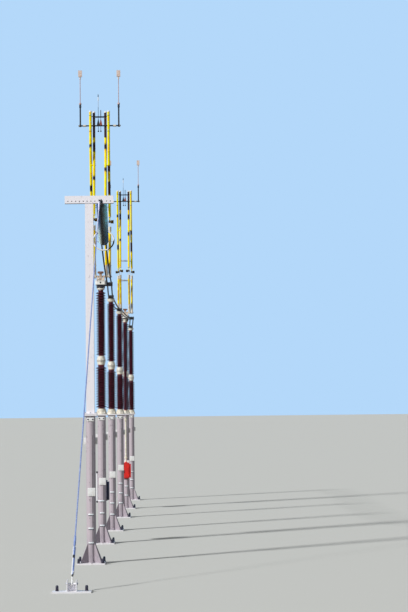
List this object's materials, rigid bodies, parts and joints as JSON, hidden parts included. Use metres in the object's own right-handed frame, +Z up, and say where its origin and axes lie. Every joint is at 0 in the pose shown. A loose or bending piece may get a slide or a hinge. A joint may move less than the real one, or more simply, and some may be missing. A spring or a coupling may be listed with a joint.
{
  "type": "substation switchgear bay",
  "caption": "Row of steel columns with porcelain post insulators, a guyed mast with a glass insulator string, a twin conductor and pantograph disconnectors that fold down.",
  "frame": {"origin": "middle of the underside of the mast's base plate, on its foundation", "axes": "+Z up, +Y along the row away from the guy's anchor, +X across the row"},
  "size_m": [1.19, 35.605, 12.7497],
  "materials": {
    "galvanised": "hot-dip galvanised, weathered",
    "mast_zinc": "fresh hot-dip galvanised, speckled",
    "casting": "galvanised casting, matt",
    "guy_rope": "stranded steel rope",
    "string_glass": "toughened glass, teal",
    "ring": "smooth, pale",
    "conductor": "stranded, weathered black",
    "porcelain": "dark brown glaze",
    "housing": "off-white paint",
    "arm_paint": "yellow paint on tube",
    "contact": "dark contact strip",
    "trapeze": "dark weathered rod",
    "box_paint": "red paint",
    "shaft": "cream paint",
    "rotor": "dark brown glaze"
  },
  "bodies": {
    "root": {"guy_anchor": "galvanised", "guy_turnbuckle": "casting", "guy_rope": "guy_rope", "mast_column": "galvanised", "mast_post": "mast_zinc", "mast_crossarm": "mast_zinc", "string_fittings": "casting", "string_glass": "string_glass", "grading_ring": "ring", "conductor_span_1": "conductor", "conductor_span_2": "conductor", "conductor_span_3": "conductor", "conductor_span_4": "conductor", "conductor_span_5": "conductor", "conductor_clamps": "casting", "column_2": "galvanised", "column_3": "galvanised", "column_4": "galvanised", "column_5": "galvanised", "column_6": "galvanised", "porcelain_2": "porcelain", "porcelain_3": "porcelain", "porcelain_4": "porcelain", "porcelain_5": "porcelain", "porcelain_6": "porcelain", "castings_2": "casting", "castings_3": "casting", "castings_4": "casting", "castings_5": "casting", "castings_6": "casting", "drive_housing_2": "housing", "trapeze_2": "trapeze", "hangers_2": "trapeze", "motor_box_2": "box_paint", "drive_housing_5": "housing", "trapeze_5": "trapeze", "hangers_5": "trapeze", "motor_box_5": "box_paint"},
    "lower_front_2": {"lower_front_2": "arm_paint"},
    "lower_back_2": {"lower_back_2": "arm_paint"},
    "upper_front_2": {"upper_front_2": "arm_paint", "strips_front_2": "contact"},
    "upper_back_2": {"upper_back_2": "arm_paint", "strips_back_2": "contact"},
    "rotor_2": {"drive_shaft_2": "shaft", "rotor_2": "rotor"},
    "lower_front_5": {"lower_front_5": "arm_paint"},
    "lower_back_5": {"lower_back_5": "arm_paint"},
    "upper_front_5": {"upper_front_5": "arm_paint", "strips_front_5": "contact"},
    "upper_back_5": {"upper_back_5": "arm_paint", "strips_back_5": "contact"},
    "rotor_5": {"drive_shaft_5": "shaft", "rotor_5": "rotor"}
  },
  "joints": [
    {"name": "pantograph_2", "type": "hinge", "parent": "root", "child": "lower_front_2", "pos_m": [-0.05, 6.1, 7.14], "axis": [1, 0, 0], "range_deg": [0, 64]},
    {"name": "lower_back_turn_2", "type": "hinge", "parent": "root", "child": "lower_back_2", "pos_m": [-0.05, 6.1, 7.14], "axis": [1, 0, 0], "range_deg": [-64, 0]},
    {"name": "front_knee_2", "type": "hinge", "parent": "lower_front_2", "child": "upper_front_2", "pos_m": [-0.05, 5.83345, 8.65168], "axis": [1, 0, 0], "range_deg": [-128, 0]},
    {"name": "back_knee_2", "type": "hinge", "parent": "lower_back_2", "child": "upper_back_2", "pos_m": [-0.05, 6.36655, 8.65168], "axis": [1, 0, 0], "range_deg": [0, 128]},
    {"name": "rotor_turn_2", "type": "hinge", "parent": "root", "child": "rotor_2", "pos_m": [-0.05, 6.45, 3.44], "axis": [0, 0, 1], "range_deg": [0, 128]},
    {"name": "pantograph_5", "type": "hinge", "parent": "root", "child": "lower_front_5", "pos_m": [0, 22.75, 7.14], "axis": [1, 0, 0], "range_deg": [0, 64]},
    {"name": "lower_back_turn_5", "type": "hinge", "parent": "root", "child": "lower_back_5", "pos_m": [0, 22.75, 7.14], "axis": [1, 0, 0], "range_deg": [-64, 0]},
    {"name": "front_knee_5", "type": "hinge", "parent": "lower_front_5", "child": "upper_front_5", "pos_m": [0, 22.48345, 8.65168], "axis": [1, 0, 0], "range_deg": [-128, 0]},
    {"name": "back_knee_5", "type": "hinge", "parent": "lower_back_5", "child": "upper_back_5", "pos_m": [0, 23.01655, 8.65168], "axis": [1, 0, 0], "range_deg": [0, 128]},
    {"name": "rotor_turn_5", "type": "hinge", "parent": "root", "child": "rotor_5", "pos_m": [0, 22.4, 3.44], "axis": [0, 0, 1], "range_deg": [0, 128]}
  ],
  "couplings": [
    {"joint": "lower_back_turn_2", "follows": "pantograph_2", "ratio": -1},
    {"joint": "front_knee_2", "follows": "pantograph_2", "ratio": -2},
    {"joint": "back_knee_2", "follows": "pantograph_2", "ratio": 2},
    {"joint": "rotor_turn_2", "follows": "pantograph_2", "ratio": 2},
    {"joint": "lower_back_turn_5", "follows": "pantograph_5", "ratio": -1},
    {"joint": "front_knee_5", "follows": "pantograph_5", "ratio": -2},
    {"joint": "back_knee_5", "follows": "pantograph_5", "ratio": 2},
    {"joint": "rotor_turn_5", "follows": "pantograph_5", "ratio": 2}
  ]
}
